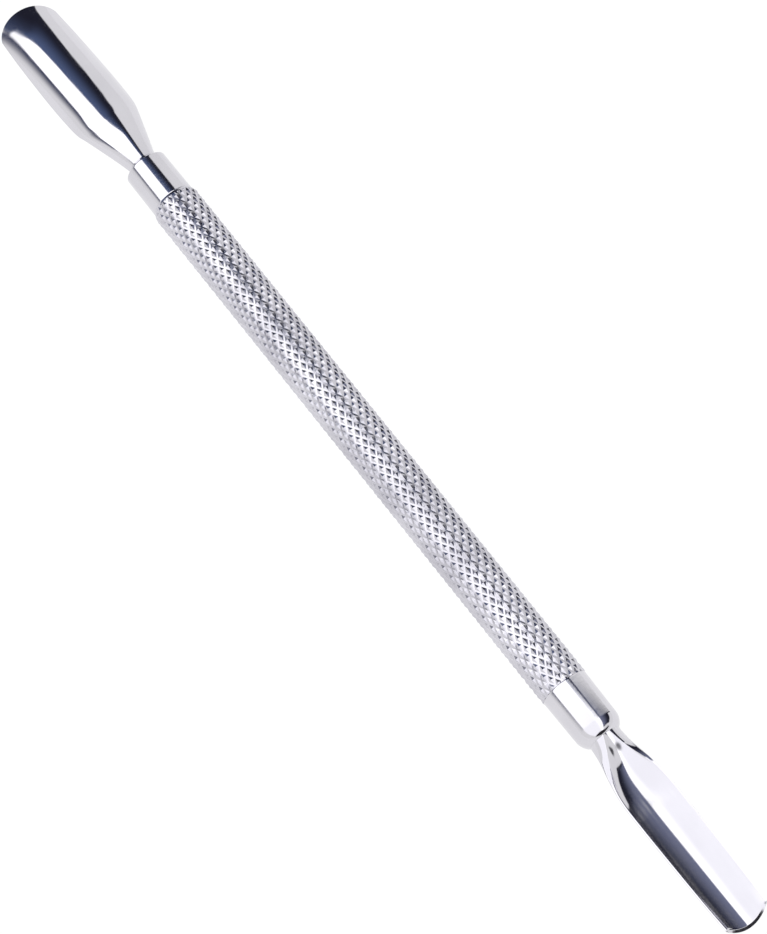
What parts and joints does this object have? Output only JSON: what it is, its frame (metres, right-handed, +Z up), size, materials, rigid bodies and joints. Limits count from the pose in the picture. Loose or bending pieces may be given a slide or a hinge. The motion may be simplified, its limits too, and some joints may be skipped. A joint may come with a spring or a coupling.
{
  "type": "cuticle pusher",
  "caption": "Double-ended stainless steel cuticle pusher with a knurled round handle, a wide spoon blade and a narrow gouge blade.",
  "frame": {"origin": "On the handle's axis, half way along its knurled tube.", "axes": "+X runs along the handle from the spoon to the gouge, +Y is across the blades, +Z is up: the spoon's back and the gouge's hollow face up."},
  "size_m": [0.1294, 0.0078, 0.0054],
  "materials": {
    "knurled_steel": "diamond knurled stainless steel, bright crests and darker grooves",
    "polished_steel": "mirror polished stainless steel with faint turning marks",
    "blade_steel": "mirror polished stainless steel with faint lengthwise polishing marks"
  },
  "bodies": {
    "root": {"handle_tube": "knurled_steel", "spoon_end_collar": "polished_steel", "gouge_end_collar": "polished_steel", "spoon_blade": "blade_steel", "gouge_blade": "blade_steel"}
  },
  "joints": []
}
